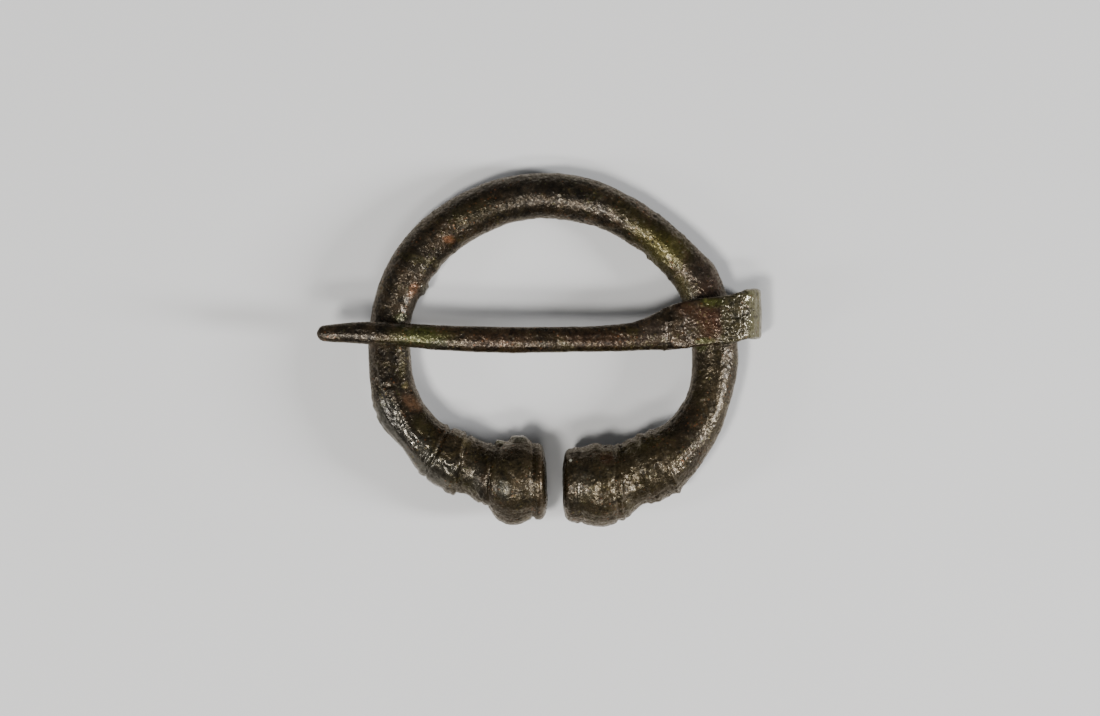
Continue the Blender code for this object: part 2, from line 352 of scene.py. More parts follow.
class Casting:
    """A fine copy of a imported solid, in millimetres, that is carved by moving its points.

    Attributes:
        node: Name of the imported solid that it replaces.
        name: Name of the finished piece.
        mesh: Its mesh.
        points: Places of its points.
        normals: Directions out of the surface at the points.
        weld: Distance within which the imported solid's points are joined, in metres.
        ease: How far a smoothing pass moves a point to its neighbours' middle.
    """

    weld: float = 1e-6
    ease: float = 0.5

    def __init__(self, node: str, name: str, cell: float, smoothing: int) -> None:
        """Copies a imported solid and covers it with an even, fine skin.

        Args:
            node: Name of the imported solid.
            name: Name of the finished piece.
            cell: Size of the skin's faces in millimetres.
            smoothing: Number of smoothing passes.
        """
        self.name = name
        self.node = node
        coarse = bpy.data.meshes.new(f"{name}_coarse")
        shape = bmesh.new()
        shape.from_mesh(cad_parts[node].data)
        bmesh.ops.remove_doubles(shape, verts=shape.verts, dist=self.weld)
        bmesh.ops.scale(shape, vec=(1 / MM, 1 / MM, 1 / MM), verts=shape.verts)
        shape.to_mesh(coarse)
        shape.free()
        holder = bpy.data.objects.new(f"{name}_coarse", coarse)
        bpy.context.scene.collection.objects.link(holder)
        skin = holder.modifiers.new("fine_skin", "REMESH")
        skin.mode = "VOXEL"
        skin.voxel_size = cell
        graph = bpy.context.evaluated_depsgraph_get()
        self.mesh = bpy.data.meshes.new_from_object(holder.evaluated_get(graph))
        bpy.data.objects.remove(holder)
        shape = bmesh.new()
        shape.from_mesh(self.mesh)
        for _ in range(smoothing):
            bmesh.ops.smooth_vert(
                shape,
                verts=shape.verts,
                factor=self.ease,
                use_axis_x=True,
                use_axis_y=True,
                use_axis_z=True,
            )
        shape.to_mesh(self.mesh)
        shape.free()
        self.read()

    def read(self) -> None:
        """Reads the points and normals from the mesh."""
        count = len(self.mesh.vertices)
        places = np.zeros(count * 3)
        self.mesh.vertices.foreach_get("co", places)
        self.points = places.reshape(-1, 3)
        directions = np.zeros(count * 3, np.float32)
        self.mesh.vertices.foreach_get("normal", directions)
        self.normals = directions.reshape(-1, 3).astype(float)

    def write(self) -> None:
        """Writes the points back to the mesh."""
        self.mesh.vertices.foreach_set("co", self.points.ravel())
        self.mesh.update()

    def carve(self, depth: np.ndarray) -> None:
        """Moves each point along its normal.

        Args:
            depth: How far each point goes, in millimetres, above 0 for outwards.
        """
        self.points += self.normals * depth[:, None]
        self.write()
        self.read()

    def keep_above(self, level: float) -> None:
        """Lifts every point that is too low.

        Args:
            level: Lowest height that stays, in millimetres.
        """
        self.points[:, 2] = np.maximum(self.points[:, 2], level)
        self.write()
        self.read()

    def paint(self, layer: str, values: np.ndarray) -> None:
        """Keeps one number for each point, which the finish reads by the layer's name."""
        attribute = self.mesh.attributes.new(layer, "FLOAT", "POINT")
        attribute.data.foreach_set("value", values.astype(np.float32))

    def finish(self, body: str, material: bpy.types.Material, slot: str) -> bpy.types.Object:
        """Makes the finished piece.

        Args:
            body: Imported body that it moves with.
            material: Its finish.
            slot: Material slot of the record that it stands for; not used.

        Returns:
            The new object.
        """
        self.mesh.vertices.foreach_set("co", (self.points * MM).ravel())
        self.mesh.update()
        self.mesh.materials.clear()
        self.mesh.materials.append(material)
        self.mesh.shade_smooth()
        self.mesh.name = self.name
        piece = bpy.data.objects.new(self.name, self.mesh)
        bpy.context.scene.collection.objects.link(piece)
        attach(piece, body)
        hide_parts(self.node)
        LOG.info("%s: %d faces", self.name, len(self.mesh.polygons))
        return piece


class Value:
    """A shader socket in expressions. Each operator adds its Math node."""

    def __init__(self, graph: "Graph", socket: bpy.types.NodeSocket) -> None:
        """Wraps an output socket of a graph."""
        self.graph = graph
        self.socket = socket

    def math(self, operation: str, *others: Any, clamp: bool = False) -> "Value":
        """Adds a Math node on this value and others.

        Args:
            operation: Name of the node's operation.
            others: Further values or numbers.
            clamp: Whether the result is kept from 0 to 1.

        Returns:
            The node's result.
        """
        return self.graph.math(operation, self, *others, clamp=clamp)

    def __add__(self, other: Any) -> "Value":
        """Sum."""
        return self.math("ADD", other)

    def __radd__(self, other: Any) -> "Value":
        """Sum, with this value on the right."""
        return self.math("ADD", other)

    def __sub__(self, other: Any) -> "Value":
        """Difference."""
        return self.math("SUBTRACT", other)

    def __rsub__(self, other: Any) -> "Value":
        """Difference, with this value on the right."""
        return self.graph.math("SUBTRACT", other, self)

    def __mul__(self, other: Any) -> "Value":
        """Product."""
        return self.math("MULTIPLY", other)

    def __rmul__(self, other: Any) -> "Value":
        """Product, with this value on the right."""
        return self.math("MULTIPLY", other)

    def limit(self) -> "Value":
        """Keeps the value from 0 to 1."""
        return self.math("ADD", 0.0, clamp=True)

    def step(self, low: float, high: float) -> "Value":
        """Rises smoothly from 0 to 1.

        Args:
            low: Value at which the result leaves 0.
            high: Value at which it reaches 1. It may lie below low.

        Returns:
            The result, from 0 to 1.
        """
        node = self.graph.node(
            "ShaderNodeMapRange",
            {"interpolation_type": "SMOOTHSTEP"},
            {"Value": self, "From Min": low, "From Max": high},
        )
        return Value(self.graph, node.outputs["Result"])


class Graph:
    """A material's node tree with one Principled BSDF.

    Attributes:
        every_level: Half height of a column that takes in every level, in millimetres.
    """

    every_level: float = 1e6

    def __init__(self, name: str) -> None:
        """Starts a material.

        Args:
            name: Name of the material.
        """
        self.material = bpy.data.materials.new(name)
        self.material.use_nodes = True
        self.tree = self.material.node_tree
        self.tree.nodes.clear()
        self.shader = self.tree.nodes.new("ShaderNodeBsdfPrincipled")
        output = self.tree.nodes.new("ShaderNodeOutputMaterial")
        self.tree.links.new(self.shader.outputs["BSDF"], output.inputs["Surface"])
        place = self.node("ShaderNodeTexCoord", {}, {}).outputs["Object"]
        self.place = self.node(
            "ShaderNodeVectorMath", {"operation": "SCALE"}, {"Vector": place, "Scale": 1 / MM}
        ).outputs["Vector"]

    def node(self, kind: str, settings: dict[str, Any], sockets: dict[Any, Any]) -> bpy.types.Node:
        """Adds a node.

        Args:
            kind: Blender's name of the node type.
            settings: The node's own settings, set first.
            sockets: Value or link of each input socket, by its name or number.

        Returns:
            The new node.
        """
        node = self.tree.nodes.new(kind)
        for name, value in settings.items():
            setattr(node, name, value)
        for name, value in sockets.items():
            self.feed(node.inputs[name], value)
        return node

    def feed(self, socket: bpy.types.NodeSocket, value: Any) -> None:
        """Links a socket or sets it.

        Args:
            socket: Input socket of a node.
            value: Value or output socket to link, or else its number, vector or colour.
        """
        if isinstance(value, Value):
            value = value.socket
        if isinstance(value, bpy.types.NodeSocket):
            self.tree.links.new(value, socket)
        elif socket.type == "RGBA":
            socket.default_value = (*value, 1.0)
        else:
            socket.default_value = value

    def math(self, operation: str, *values: Any, clamp: bool = False) -> Value:
        """Adds a Math node.

        Args:
            operation: Name of the node's operation.
            values: Its values or numbers, in order.
            clamp: Whether the result is kept from 0 to 1.

        Returns:
            The node's result.
        """
        sockets = dict(enumerate(values))
        node = self.node("ShaderNodeMath", {"operation": operation, "use_clamp": clamp}, sockets)
        return Value(self, node.outputs[0])

    def mix(self, first: Any, second: Any, factor: Any) -> bpy.types.NodeSocket:
        """Mixes two colours.

        Args:
            first: Colour or link where the factor is 0.
            second: Colour or link where it is 1.
            factor: Value from 0 to 1.

        Returns:
            The colour's socket.
        """
        node = self.node(
            "ShaderNodeMix", {"data_type": "RGBA", "clamp_factor": True}, {0: factor, 6: first, 7: second}
        )
        return node.outputs[2]

    def clouds(self, size: float, detail: float = 3.0, roughness: float = 0.55, warp: float = 0.0) -> Value:
        """Adds cloudy noise.

        Args:
            size: Size of its lumps in millimetres.
            detail: Number of finer layers.
            roughness: Share of the finer layers.
            warp: How far the noise is bent.

        Returns:
            The noise, from 0 to 1.
        """
        node = self.node(
            "ShaderNodeTexNoise",
            {},
            {
                "Vector": self.place,
                "Scale": 1 / size,
                "Detail": detail,
                "Roughness": roughness,
                "Distortion": warp,
            },
        )
        return Value(self, node.outputs[0])

    def cells(self, size: float) -> Value:
        """Distance to scattered spots that are a size in millimetres apart."""
        node = self.node("ShaderNodeTexVoronoi", {}, {"Vector": self.place, "Scale": 1 / size})
        return Value(self, node.outputs["Distance"])

    def layer(self, name: str) -> Value:
        """Reads a number that the mesh keeps for each point."""
        node = self.node("ShaderNodeAttribute", {"attribute_name": name}, {})
        return Value(self, node.outputs["Fac"])

    def spot(self, spot: Spot, size: Spot, turn: float) -> Value:
        """Distance from a place in the photo, 1 at the edge of an oval round it.

        Args:
            spot: Pixel at the oval's middle.
            size: Its half sizes in pixels.
            turn: Angle of its first size from the photo's right, in degrees.

        Returns:
            The distance, on the ground plan.
        """
        place = PHOTO.place(spot)
        node = self.node(
            "ShaderNodeMapping",
            {"vector_type": "TEXTURE"},
            {
                "Vector": self.place,
                "Location": (place[0], place[1], 0.0),
                "Rotation": (0.0, 0.0, math.radians(turn)),
                "Scale": (size[0] * PHOTO.pixel, size[1] * PHOTO.pixel, self.every_level),
            },
        )
        length = self.node("ShaderNodeVectorMath", {"operation": "LENGTH"}, {0: node.outputs[0]})
        return Value(self, length.outputs["Value"])


class Tone(Enum):
    """Colours of the metal and its corrosion, some of them also used for painted shade and painted
    highlights.
    """

    BLACK = (0.0022, 0.0017, 0.0012)
    BRONZE = (0.0135, 0.0082, 0.0028)
    BROWN = (0.031, 0.0165, 0.0055)
    RUST = (0.050, 0.0150, 0.0060)
    COPPER = (0.170, 0.062, 0.020)
    ROSE = (0.170, 0.085, 0.042)
    MOSS = (0.074, 0.063, 0.012)
    UMBER = (0.040, 0.027, 0.020)
    EARTH = (0.044, 0.031, 0.011)
    TAN = (0.150, 0.118, 0.045)
    OLIVE = (0.027, 0.0220, 0.0028)
    GREEN = (0.046, 0.054, 0.007)
    BRIGHT = (0.130, 0.135, 0.030)
    SKIN = (0.024, 0.026, 0.022)
    PALE = (0.150, 0.138, 0.100)
    LICHEN = (0.086, 0.081, 0.035)
    CHALK = (0.75, 0.72, 0.60)


@dataclass(frozen=True)
class ColourPatch:
    """A patch of another colour on the patina: most are stains, and the ones marked in the lists are painted
    shade and painted highlights.

    Attributes:
        spot: Pixel at its middle.
        size: Its half sizes in pixels.
        tone: Its colour.
        strength: How far it covers the patina, from 0 to 1.
        turn: Angle of its first size in degrees.
    """

    spot: Spot
    size: Spot
    tone: Tone
    strength: float = 0.7
    turn: float = 0.0


@dataclass(frozen=True)
class Patina:
    """Dark, waxed bronze patina: glossy, pitted and mottled, with stains, crusts, painted shade in pits and
    crevices, raised places paler partly from wear and partly as painted highlight, and some painted shade and
    highlight patches.

    Attributes:
        name: Name of the material.
        stains_and_painted_light: Patches of other colours, mostly stains, a few of them painted shade and
            painted highlights.
        warmth: Share of brown in the mottling, from 0 to 1.
        gloss: Lowest roughness of the smooth places.
        crust_tone: Colour of the layer named crust on the mesh.
        broad_size: Size of the broad brown patches in millimetres.
        olive_size: Size of the olive patches in millimetres.
        mottle_size: Size of the mottling in millimetres.
        grain_size: Size of the grain in millimetres.
        patch_edge: Distances from a patch's middle at which it ends and is full.
        flecks: Spacing in millimetres and colour of each kind of fleck.
        fleck_strength: How far a fleck covers the patina, from 0 to 1.
        crater_size: Distance between the finest pits in millimetres.
        nick_size: Distance between the finest nicks in millimetres.
        fine_depth: Height of the finest relief in millimetres.
        shine: Strength of the reflections.
        shine_tint: Colour of the reflections.
        wax: Share of clear wax over the metal.
        wax_roughness: Roughness of the wax.
    """

    name: str
    stains_and_painted_light: tuple[ColourPatch, ...]
    warmth: float
    gloss: float
    crust_tone: Tone
    broad_size: float = 4.5
    olive_size: float = 2.6
    mottle_size: float = 0.9
    grain_size: float = 0.27
    patch_edge: Spot = (1.15, 0.40)
    flecks: tuple[tuple[float, Tone], ...] = (
        (0.52, Tone.COPPER),
        (0.61, Tone.TAN),
        (0.44, Tone.GREEN),
        (0.57, Tone.PALE),
    )
    fleck_strength: float = 0.42
    crater_size: float = 0.48
    nick_size: float = 0.34
    fine_depth: float = 0.043
    shine: float = 0.90
    shine_tint: Colour = (1.0, 0.90, 0.76)
    wax: float = 0.06
    wax_roughness: float = 0.20

    def build(self) -> bpy.types.Material:
        """Makes the material.

        Returns:
            The finished material.
        """
        graph = Graph(self.name)
        broad = graph.clouds(self.broad_size)
        mottle = graph.clouds(self.mottle_size, 5.0, 0.62, 0.6)
        grain = graph.clouds(self.grain_size, 4.0, 0.62)
        pits = graph.layer("pits")
        crust = graph.layer("crust")
        ridge = graph.layer("ridge")

        speckle = (grain * 0.5 + mottle * 0.5).step(0.36, 0.60)
        gaps = (grain * 0.8 + mottle * 0.2).step(0.56, 0.44)
        warm = (grain * 0.4 + mottle * 0.6).step(0.32, 0.60)
        colour = graph.mix(Tone.BLACK.value, Tone.BRONZE.value, warm)
        brown = (broad * 0.5 + mottle * 0.5 + (self.warmth - 0.5) * 0.3).step(0.42, 0.66)
        colour = graph.mix(colour, Tone.BROWN.value, brown * speckle)
        olive = graph.clouds(self.olive_size, 4.0, 0.6, 0.4).step(0.50, 0.70)
        colour = graph.mix(colour, Tone.OLIVE.value, olive * speckle * 0.8)
        # Stains, and the few patches of painted shade and painted highlight among them.
        for colour_patch in self.stains_and_painted_light:
            frayed = graph.spot(colour_patch.spot, colour_patch.size, colour_patch.turn)
            frayed = frayed + (mottle - 0.5) * 1.8 + (grain - 0.5)
            cover = frayed.step(*self.patch_edge) * colour_patch.strength
            colour = graph.mix(colour, colour_patch.tone.value, cover * (speckle * 0.75 + 0.25))
        colour = graph.mix(colour, self.crust_tone.value, crust * (speckle * 0.6 + 0.3))
        # Painted shade: pits and the crevices between nodules go nearly black, partly the dark corrosion in
        # them and partly the shade that falls in hollows.
        colour = graph.mix(colour, Tone.BLACK.value, pits * 0.85)
        # Raised places go a little paler: partly wear, partly a painted highlight on the ridges.
        colour = graph.mix(colour, Tone.PALE.value, ridge * speckle * 0.16)
        for size, tone in self.flecks:
            flecks = graph.cells(size).step(0.30, 0.08) * graph.clouds(size * 4.1, 2.0).step(0.50, 0.62)
            colour = graph.mix(colour, tone.value, flecks * self.fleck_strength)
        graph.feed(graph.shader.inputs["Base Color"], colour)

        coarse = gaps * (1.0 - crust * 0.7) * 0.24
        rough = (mottle * 0.22 + coarse + pits * 0.2 - crust * 0.08 + (self.gloss - 0.15)).limit()
        graph.feed(graph.shader.inputs["Roughness"], rough)
        metal = (0.58 + gaps * 0.26 - crust * 0.22 - brown * 0.15).limit()
        graph.feed(graph.shader.inputs["Metallic"], metal)
        for name, constant in (
            ("Specular IOR Level", self.shine),
            ("Specular Tint", self.shine_tint),
            ("Coat Roughness", self.wax_roughness),
            ("Coat Weight", self.wax),
        ):
            graph.feed(graph.shader.inputs[name], constant)

        craters = graph.cells(self.crater_size).step(0.42, 0.0) * graph.clouds(1.1, 2.0).step(0.42, 0.60)
        height = grain + mottle * 0.30 - craters * 0.9 + graph.cells(self.nick_size) * 0.7
        height = height * (1.0 - crust * 0.75)
        bump = graph.node(
            "ShaderNodeBump", {}, {"Strength": 1.0, "Distance": self.fine_depth * MM, "Height": height}
        )
        graph.feed(graph.shader.inputs["Normal"], bump.outputs["Normal"])
        return graph.material


@dataclass
class Hoop:
    """The open ring with its two moulded terminals, cast in one.

    Attributes:
        lean: How far the ring's plane leans down to its far side, in degrees.
        centre: Centre of the ring in millimetres.
        cell: Size of the faces of its skin in millimetres.
        smoothing: Number of smoothing passes over the skin.
        wedge: Width of the slices in which the rod's middle is looked for, in degrees.
        foot: Height over which the relief fades in from the ground, in millimetres.
        fullness: How far the whole surface stands out, in millimetres.
        waves: Broad unevenness of the casting.
        ripples: Fine unevenness.
        pits: Pits of corrosion.
        bumps: Grains of corrosion.
        rough_bands: Rougher stretches round the ring, each with what it adds to the unevenness.
        crusted: Height of a lump from which it has the crust's colour, in millimetres.
        seam_breaks: How unevenly the seams stand out.
        scab: Stretch of the smooth scab of corrosion on the outer side.
        scab_top: Angles round the rod at which the scab ends above and is full.
        scab_foot: Angles round the rod at which it ends below and is full.
        scab_frays: How far its two edges stray, in degrees.
        scab_height: How far it stands out, in millimetres.
        scab_calm: Share of the other relief that it hides.
        fold_height: Height of the folds in it, in millimetres.
        fold_turns: Folds a turn round the rod and round the ring.
        fold_bend: How far the folds stray, in radians.
        ribs: Stretch of fine ribs on the inner side, below the pin's head.
        rib_side: Angle of their middle round the rod.
        rib_spread: Distances from that middle at which they end and are full, in degrees.
        rib_height: Their height in millimetres.
        rib_turns: Ribs a turn round the rod.
        lines: Grooves and ridges of the mouldings.
        lumps: Corrosion crusts and dents.
        swells: Places where the real rod and mouldings are fuller or thinner than turned ones.
        seams: Ridges and cracks along the upper side.
        stains_and_painted_light: Patches of other colours, in the order in which they lie, mostly stains and
            a few of painted shade and painted highlight.
    """

    lean: float = 3.706
    centre: tuple[float, float, float] = (1.069, -0.461, 3.340)
    cell: float = 0.165
    smoothing: int = 2
    wedge: float = 3.0
    foot: float = 0.6
    fullness: float = 0.02
    waves: Waves = Waves(0.055, 2.8, 2, 1)
    ripples: Waves = Waves(0.036, 0.85, 3, 2)
    pits: Specks = Specks(0.052, 0.50, 4, 0.42, 0.12, 2.2, 3, -0.15, 0.35)
    bumps: Specks = Specks(0.035, 0.65, 5, 0.60, 0.15, 1.9, 6, 0.0, 0.5)
    rough_bands: tuple[tuple[Band, float], ...] = (
        (Band(286.0, 296.0, 318.0, 330.0), 0.7),
        (Band(214.0, 222.0, 238.0, 246.0), 0.3),
        (Band(22.0, 32.0, 70.0, 82.0), 0.7),
    )
    crusted: float = 0.2
    seam_breaks: Waves = Waves(0.5, 0.7, 2, 30)
    scab: Band = Band(192.0, 199.0, 229.0, 236.0)
    scab_top: Spot = (84.0, 76.0)
    scab_foot: Spot = (-62.0, -50.0)
    scab_frays: tuple[Waves, Waves] = (Waves(10.0, 1.6, 3, 7), Waves(10.0, 1.1, 2, 8))
    scab_height: float = 0.06
    scab_calm: float = 0.65
    fold_height: float = 0.020
    fold_turns: Spot = (13.0, 4.0)
    fold_bend: Waves = Waves(2.0, 2.5, 2, 9)
    ribs: Band = Band(318.0, 326.0, 344.0, 352.0)
    rib_side: float = 140.0
    rib_spread: Spot = (40.0, 20.0)
    rib_height: float = 0.014
    rib_turns: float = 24.0
    lines: tuple[RingLine, ...] = (
        RingLine((533.5, 450), (533.9, 505), -0.165, 0.16),
        RingLine((537.5, 450), (538.5, 505), 0.075, 0.20),
        RingLine((491.5, 470), (489, 497), -0.21, 0.16),
        RingLine((488, 470), (485.5, 497), 0.15, 0.20),
        RingLine((461.8, 447), (453.6, 492), 0.195, 0.22),
        RingLine((466.5, 447), (458, 492), -0.195, 0.20),
        RingLine((437.5, 452), (428, 470), -0.24, 0.18),
        RingLine((433.5, 450), (424, 467), 0.135, 0.20),
        RingLine((573, 460), (574.5, 505), -0.075, 0.13),
        RingLine((579.5, 460), (581, 505), -0.105, 0.20),
        RingLine((618, 460), (621, 500), 0.18, 0.20),
        RingLine((614.5, 460), (617, 500), -0.135, 0.17),
        RingLine((641.5, 450), (650.5, 494), 0.135, 0.22),
        RingLine((658.5, 451), (673, 481), 0.165, 0.20),
        RingLine((654, 453), (668, 483), -0.105, 0.20),
    )
    lumps: tuple[Lump, ...] = (
        Lump((500.5, 440.5), 4.6, (0.60, 0.9, 1.4), 0.34, 0.5, 2, 0.2),
        Lump((519, 440), 4.4, (1.10, 1.0, 1.6), 0.36, 0.45, 3, 0.2),
        Lump((384, 420), 3.6, (0.9, 1.5, 1.6), 0.28, 0.6, 4),
        Lump((457, 463), 7.0, (0.8, 0.9, 1.2), 0.16, 0.4, 5),
        Lump((505, 487), 8.0, (0.9, 1.2, 1.2), 0.10, 0.4, 6),
        Lump((650, 470), 6.8, (1.3, 1.1, 1.2), 0.12, 0.5, 7),
        Lump((632, 478), 6.8, (1.2, 1.3, 1.2), -0.10, 0.7, 8),
        Lump((446, 461), 6.6, (0.35, 0.35, 0.8), -0.16, 0.6, 9),
        Lump((687, 445), 5.6, (1.5, 0.8, 1.2), 0.07, 0.5, 10),
        Lump((566, 465), 6.0, (0.5, 0.9, 1.4), -0.16, 0.7, 11),
        Lump((408, 446), 4.6, (0.9, 0.9, 1.4), -0.14, 0.7, 16),
        Lump((388, 430), 3.4, (0.7, 0.8, 1.2), 0.16, 0.5, 17),
        Lump((447, 478), 6.4, (0.7, 0.7, 1.0), 0.10, 0.3, 18),
        Lump((424.5, 289), 3.2, (0.9, 0.9, 1.3), 0.30, 0.6, 12),
        Lump((436, 268), 3.0, (0.7, 0.7, 1.2), 0.12, 0.6, 13),
        Lump((377.5, 407), 3.2, (0.7, 0.6, 1.4), 0.20, 0.5, 19),
        Lump((381.5, 419), 3.2, (0.6, 0.6, 1.4), 0.16, 0.5, 20),
        Lump((646.5, 260), 3.0, (0.6, 0.5, 1.2), 0.20, 0.5, 21),
        Lump((672, 277), 3.0, (0.5, 0.5, 1.0), 0.14, 0.5, 22),
        Lump((450, 249.5), 3.0, (0.9, 0.7, 1.2), 0.12, 0.6, 14),
    )
    swells: tuple[Swell, ...] = (
        Swell((513, 521), 4.3, (2.3, 1.8, 3.6), 0.40),
        Swell((453, 495), 4.0, (1.6, 1.3, 3.0), 0.40),
        Swell((484, 509), 4.2, (1.9, 1.8, 3.2), -0.42),
        Swell((481, 442), 4.2, (1.7, 1.5, 3.0), 0.36),
        Swell((530, 442), 4.3, (1.4, 1.3, 3.0), 0.22),
        Swell((621, 447), 4.2, (2.2, 1.6, 3.2), 0.36),
        Swell((590, 446), 4.3, (2.2, 1.2, 3.2), 0.16),
        Swell((398, 453), 3.2, (2.4, 3.4, 3.6), -0.34),
        Swell((712, 268), 3.0, (2.6, 3.2, 3.4), 0.26),
        Swell((645, 250), 3.0, (2.2, 2.6, 3.2), -0.24),
        Swell((735, 360), 3.2, (1.6, 3.8, 3.4), 0.18),
        Swell((373, 375), 3.2, (1.6, 3.4, 3.4), -0.16),
    )
    seams: tuple[Seam, ...] = (
        Seam(((392, 387), (402.7, 410.6), (410.4, 426), (418, 438), (428, 444.5)), 0.13, 0.20),
        Seam(((396.5, 388), (407, 409.6), (415, 424), (422, 435)), -0.07, 0.20),
        Seam(
            ((379.3, 367), (383.8, 385), (389.3, 400.5), (398.2, 419.4), (407, 435), (416, 447)),
            0.11,
            0.16,
        ),
        Seam(((375.5, 368), (380, 386), (385.5, 402), (394, 421)), -0.10, 0.22),
        Seam(((383.5, 385), (388, 387), (394, 385.5)), -0.16, 0.10),
        Seam(((441, 455), (446, 459), (448, 464), (454, 463)), 0.12, 0.12),
        Seam(((446, 459), (444, 466), (447, 472)), 0.10, 0.12),
        Seam(((606, 474), (608.5, 485), (611, 492)), 0.10, 0.13),
        Seam(((616.5, 477), (618.5, 487), (622, 497)), 0.12, 0.14),
    )
    stains_and_painted_light: tuple[ColourPatch, ...] = (
        # Painted shade: a dark band along the top of the ring, which darkens the base colour while the
        # reflections stay.
        ColourPatch((510, 184), (95, 20), Tone.BLACK, 0.65),
        ColourPatch((590, 200), (30, 16), Tone.BLACK, 0.50, -30),
        ColourPatch((604, 482), (52, 48), Tone.EARTH, 0.60),
        ColourPatch((655, 465), (42, 40), Tone.EARTH, 0.55),
        ColourPatch((524, 480), (38, 46), Tone.EARTH, 0.50),
        ColourPatch((455, 462), (40, 34), Tone.EARTH, 0.40),
        ColourPatch((712, 395), (26, 60), Tone.EARTH, 0.45),
        ColourPatch((655, 250), (42, 26), Tone.OLIVE, 0.75, -42),
        ColourPatch((668, 252), (24, 22), Tone.MOSS, 0.75, -30),
        ColourPatch((648, 238), (26, 12), Tone.MOSS, 0.55, -42),
        ColourPatch((707, 277), (24, 22), Tone.UMBER, 0.80, -50),
        ColourPatch((681, 286), (6, 20), Tone.TAN, 0.55, 22),
        ColourPatch((684, 290), (9, 20), Tone.OLIVE, 0.90, 20),
        ColourPatch((708, 290), (14, 14), Tone.RUST, 0.35),
        ColourPatch((628, 212), (24, 12), Tone.OLIVE, 0.55, -30),
        ColourPatch((470, 214), (30, 14), Tone.OLIVE, 0.45, 28),
        ColourPatch((449, 240), (7, 5), Tone.COPPER, 0.75),
        ColourPatch((414, 290), (9, 6), Tone.COPPER, 0.55, 60),
        ColourPatch((413, 403), (13, 7), Tone.ROSE, 0.70, -38),
        ColourPatch((406, 385.5), (4, 4), Tone.TAN, 0.70),
        ColourPatch((403, 370), (5, 12), Tone.OLIVE, 0.80),
        ColourPatch((425, 428), (16, 9), Tone.OLIVE, 0.75, -35),
        # Painted highlight: a small tan spot where the collar's ridge starts on the inner side.
        ColourPatch((467, 442), (5, 6), Tone.TAN, 0.45),
        ColourPatch((500, 439), (7, 5), Tone.BRIGHT, 0.80),
        ColourPatch((519, 438), (11, 5), Tone.PALE, 0.55),
        ColourPatch((504, 488), (9, 14), Tone.SKIN, 0.75, 10),
        ColourPatch((540, 480), (3.5, 34), Tone.BROWN, 0.80),
        ColourPatch((607, 457), (9, 8), Tone.RUST, 0.70),
        ColourPatch((640, 445), (28, 8), Tone.OLIVE, 0.70, 18),
        ColourPatch((570.5, 459.5), (2.2, 2.2), Tone.CHALK, 1.00),
        ColourPatch((475, 475), (14, 16), Tone.SKIN, 0.35),
        ColourPatch((700, 345), (8, 8), Tone.GREEN, 0.7),
        ColourPatch((400, 318), (8, 6), Tone.GREEN, 0.5),
        ColourPatch((583, 482), (12, 22), Tone.SKIN, 0.35),
    )

    def around(self, points: np.ndarray) -> tuple[np.ndarray, np.ndarray]:
        """Reads where points lie on the bent rod.

        Args:
            points: Places in millimetres.

        Returns:
            The angle round the hoop's centre, from 0 to 360 degrees, and the angle round
            the rod, 0 on its outer side and 90 on top.
        """
        turn = math.radians(self.lean)
        local = points - np.array(self.centre)
        flat_y = local[:, 1] * math.cos(turn) - local[:, 2] * math.sin(turn)
        flat_z = local[:, 1] * math.sin(turn) + local[:, 2] * math.cos(turn)
        reach = np.hypot(local[:, 0], flat_y)
        angle = np.degrees(np.arctan2(flat_y, local[:, 0])) % 360.0
        edges = np.arange(0.0, 360.0 + self.wedge / 2, self.wedge)
        middles = np.full(len(edges) - 1, np.nan)
        for index, low in enumerate(edges[:-1]):
            inside = reach[(angle >= low) & (angle < low + self.wedge)]
            if len(inside):
                middles[index] = (inside.min() + inside.max()) / 2
        known = ~np.isnan(middles)
        middle = np.interp(angle, (edges[:-1] + self.wedge / 2)[known], middles[known])
        return angle, np.degrees(np.arctan2(flat_z, reach - middle))

    def scab_cover(self, points: np.ndarray, angle: np.ndarray, side: np.ndarray) -> np.ndarray:
        """Gives how far the scab covers each point, from 0 to 1.

        Args:
            points: Places in millimetres.
            angle: Angles of the points round the hoop's centre, in degrees.
            side: Angles of the points round the rod, in degrees.

        Returns:
            One number for each point.
        """
        top_fray, foot_fray = self.scab_frays
        cover = self.scab.share(angle)
        cover *= smooth_step(side + top_fray.relief(points), *self.scab_top)
        cover *= smooth_step(side + foot_fray.relief(points), *self.scab_foot)
        return cover

    def carve(self) -> Casting:
        """Makes the fine casting.

        Returns:
            The casting with its relief and its painted layers.
        """
        cast = Casting("hoop", "cast_hoop", self.cell, self.smoothing)
        cast.carve(sum(swell.relief(cast.points) for swell in self.swells))
        for line in self.lines:
            cast.carve(line.relief(cast.points))
        broken = 0.75 + self.seam_breaks.relief(cast.points)
        for seam in self.seams:
            cast.carve(seam.relief(cast.points, cast.normals) * broken)

        points = cast.points
        angle, side = self.around(points)
        lift = smooth_step(points[:, 2], 0.0, self.foot)
        unrest = sum((gain * band.share(angle) for band, gain in self.rough_bands), 1.0)
        relief = self.fullness + self.waves.relief(points)
        relief += self.ripples.relief(points) * unrest
        pits = self.pits.cover(points)
        relief -= self.pits.height * pits * unrest
        relief += self.bumps.height * self.bumps.cover(points) * unrest
        crust = np.zeros(len(points))
        for lump in self.lumps:
            cover = lump.cover(points)
            relief += lump.height * cover
            if lump.height > self.crusted:
                crust = np.maximum(crust, cover)

